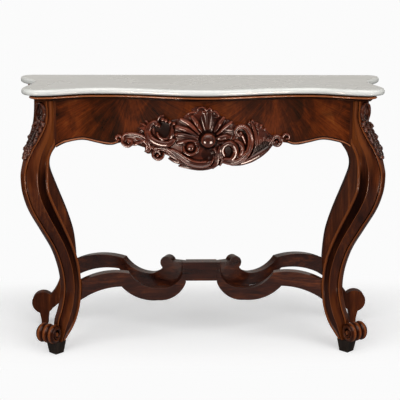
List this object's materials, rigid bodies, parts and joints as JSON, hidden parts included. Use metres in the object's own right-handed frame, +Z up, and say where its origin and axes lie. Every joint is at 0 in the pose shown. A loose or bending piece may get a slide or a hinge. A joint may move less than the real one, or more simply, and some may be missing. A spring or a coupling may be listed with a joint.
{
  "type": "pier table",
  "caption": "Pier table with a serpentine marble top, carved apron, scrolled cabriole legs and a four-armed scroll stretcher.",
  "frame": {"origin": "on the floor, under the middle of the table's overall box", "axes": "+X to the right of someone facing the carved front, +Y towards the wall, +Z up"},
  "size_m": [1.256, 0.428, 0.915],
  "materials": {
    "marble": "honed and polished, light grey with faint veins",
    "mahogany": "french polished dark red-brown",
    "flame_veneer": "french polished flame-figured veneer",
    "secondary_wood": "plain, stained, unpolished",
    "dark_wood": "dull dark stained"
  },
  "bodies": {
    "root": {"marble_top": "marble", "moulding_front": "mahogany", "moulding_left": "mahogany", "moulding_right": "mahogany", "apron_front": "flame_veneer", "apron_bead_left": "mahogany", "apron_bead_right": "mahogany", "cartouche": "mahogany", "side_rail_left": "mahogany", "side_rail_right": "mahogany", "rear_rail": "secondary_wood", "front_leg_left": "mahogany", "front_leg_right": "mahogany", "leg_carving_left": "mahogany", "leg_carving_right": "mahogany", "foot_block_left": "dark_wood", "foot_block_right": "dark_wood", "rear_leg_left": "mahogany", "rear_leg_right": "mahogany", "stretcher_arm_front_left": "mahogany", "stretcher_arm_front_right": "mahogany", "stretcher_arm_rear_left": "mahogany", "stretcher_arm_rear_right": "mahogany", "stretcher_block": "mahogany"}
  },
  "joints": []
}
